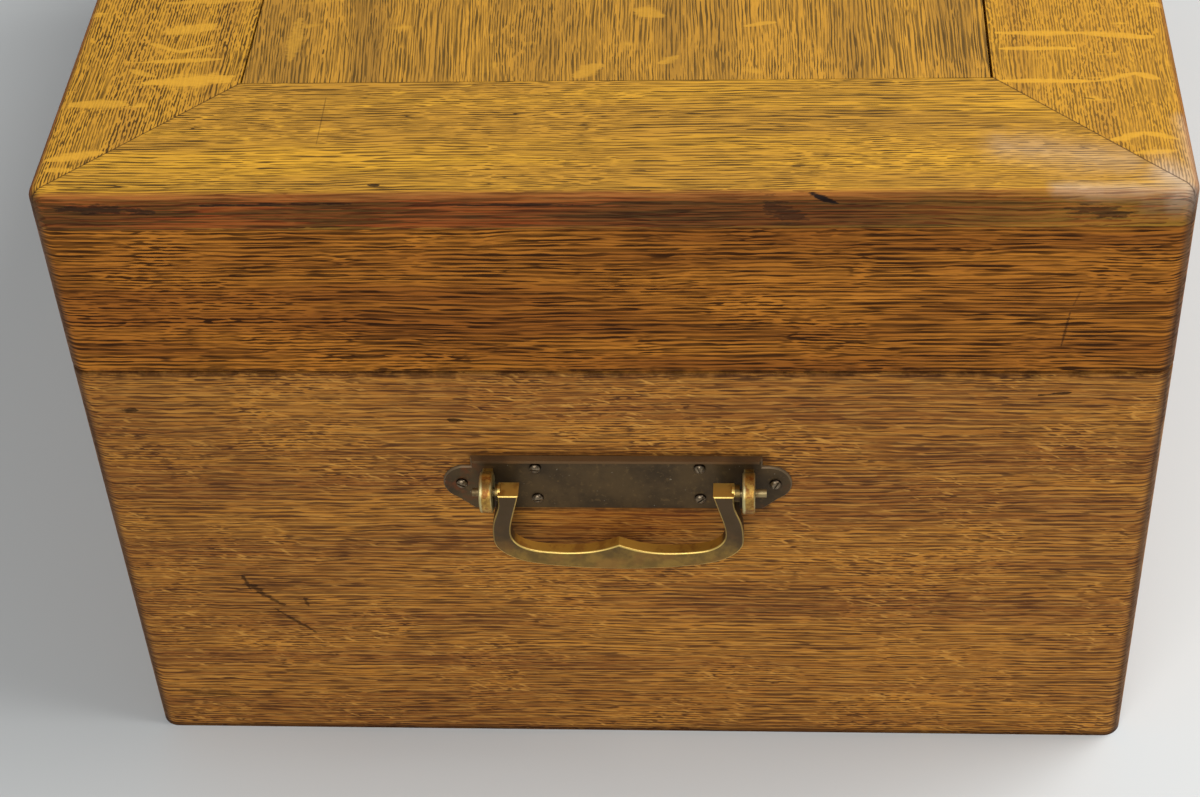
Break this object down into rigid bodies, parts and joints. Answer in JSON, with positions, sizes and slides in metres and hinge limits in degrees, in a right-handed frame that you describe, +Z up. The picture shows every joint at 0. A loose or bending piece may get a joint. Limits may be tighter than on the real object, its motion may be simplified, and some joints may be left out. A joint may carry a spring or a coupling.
{
  "type": "silverware chest",
  "caption": "Rectangular oak chest with a deep hinged lid, framed flat top, lock, swinging bail handle on each end and lift-out divided tray.",
  "frame": {"origin": "centre of the flat bottom face that the chest stands on", "axes": "+X along the length to the right-hand end, -Y towards the lock, +Y towards the hinges, +Z up"},
  "size_m": [0.5914, 0.417, 0.2705],
  "materials": {
    "case_long_oak": "worn oil varnish",
    "case_end_oak": "worn oil varnish",
    "lid_long_oak": "worn oil varnish",
    "lid_end_oak": "worn oil varnish",
    "frame_long_oak": "worn oil varnish",
    "frame_end_oak": "worn oil varnish",
    "panel_oak": "worn oil varnish",
    "bottom_wood": "bare, lightly waxed",
    "cleat_wood": "bare, lightly waxed",
    "tray_long_wood": "bare, lightly waxed",
    "tray_cross_wood": "bare, lightly waxed",
    "tray_bottom_wood": "bare, lightly waxed",
    "lining_cloth": "baize",
    "plate_brass": "aged, dull with worn edges",
    "ear_brass": "aged, dull with worn edges",
    "bail_brass": "aged, dull with worn edges",
    "pin_steel": "aged, satin",
    "handle_screw_brass": "aged, dull with worn edges",
    "hinge_brass": "aged, satin",
    "hinge_pin_steel": "aged, satin",
    "hinge_screw_brass": "aged, satin",
    "lock_brass": "aged, satin",
    "lock_screw_brass": "aged, satin",
    "bolt_steel": "aged, satin",
    "escutcheon_brass": "aged, satin",
    "key_steel": "aged, satin",
    "bottom_screw_steel": "aged, satin"
  },
  "bodies": {
    "case": {"case_front": "case_long_oak", "case_back": "case_long_oak", "case_left_end": "case_end_oak", "case_right_end": "case_end_oak", "case_bottom": "bottom_wood", "bottom_screws": "bottom_screw_steel", "left_tray_cleat": "cleat_wood", "right_tray_cleat": "cleat_wood", "case_floor_lining": "lining_cloth", "case_side_lining": "lining_cloth", "lock_case": "lock_brass", "lock_cover": "lock_brass", "lock_screws": "lock_screw_brass", "escutcheon": "escutcheon_brass", "escutcheon_pins": "escutcheon_brass", "left_hinge_case_leaf": "hinge_brass", "right_hinge_case_leaf": "hinge_brass", "hinge_pins": "hinge_pin_steel", "hinge_case_screws": "hinge_screw_brass", "left_handle_plate": "plate_brass", "left_handle_front_ear": "ear_brass", "left_handle_rear_ear": "ear_brass", "left_handle_pins": "pin_steel", "left_handle_screws": "handle_screw_brass", "right_handle_plate": "plate_brass", "right_handle_front_ear": "ear_brass", "right_handle_rear_ear": "ear_brass", "right_handle_pins": "pin_steel", "right_handle_screws": "handle_screw_brass"},
    "lid": {"lid_front_band": "lid_long_oak", "lid_back_band": "lid_long_oak", "lid_left_band": "lid_end_oak", "lid_right_band": "lid_end_oak", "top_frame_front": "frame_long_oak", "top_frame_back": "frame_long_oak", "top_frame_left": "frame_end_oak", "top_frame_right": "frame_end_oak", "top_panel": "panel_oak", "lid_lining_board": "lining_cloth", "lid_side_lining": "lining_cloth", "left_hinge_lid_leaf": "hinge_brass", "right_hinge_lid_leaf": "hinge_brass", "hinge_lid_screws": "hinge_screw_brass", "link_plate": "lock_brass", "link_plate_screws": "lock_screw_brass"},
    "left_bail": {"left_handle_bail": "bail_brass"},
    "right_bail": {"right_handle_bail": "bail_brass"},
    "lock_bolt": {"lock_bolt": "bolt_steel"},
    "key": {"key": "key_steel"},
    "tray": {"tray_front": "tray_long_wood", "tray_back": "tray_long_wood", "tray_left_end": "tray_cross_wood", "tray_right_end": "tray_cross_wood", "tray_bottom": "tray_bottom_wood", "tray_lining": "lining_cloth", "tray_cross_divider": "tray_cross_wood", "tray_long_dividers": "tray_long_wood", "tray_short_dividers": "tray_long_wood"}
  },
  "joints": [
    {"name": "lid_hinge", "type": "hinge", "parent": "case", "child": "lid", "pos_m": [0, 0.1925, 0.19245], "axis": [-1, 0, 0], "range_deg": [0, 95]},
    {"name": "left_bail_swing", "type": "hinge", "parent": "case", "child": "left_bail", "pos_m": [-0.2883, 0, 0.1429], "axis": [0, 1, 0], "range_deg": [-8, 189]},
    {"name": "right_bail_swing", "type": "hinge", "parent": "case", "child": "right_bail", "pos_m": [0.2883, 0, 0.1429], "axis": [0, -1, 0], "range_deg": [-8, 189]},
    {"name": "key_turn", "type": "hinge", "parent": "case", "child": "key", "pos_m": [0, -0.1905, 0.1722], "axis": [0, 1, 0], "range_deg": [0, 90]},
    {"name": "bolt_slide", "type": "slide", "parent": "case", "child": "lock_bolt", "axis": [-1, 0, 0], "range_m": [0, 0.005]},
    {"name": "tray_lift", "type": "slide", "parent": "case", "child": "tray", "axis": [0, 0, 1], "range_m": [0, 0.045]}
  ],
  "couplings": [
    {"joint": "bolt_slide", "follows": "key_turn", "m_per_rad": 0.0031831}
  ]
}
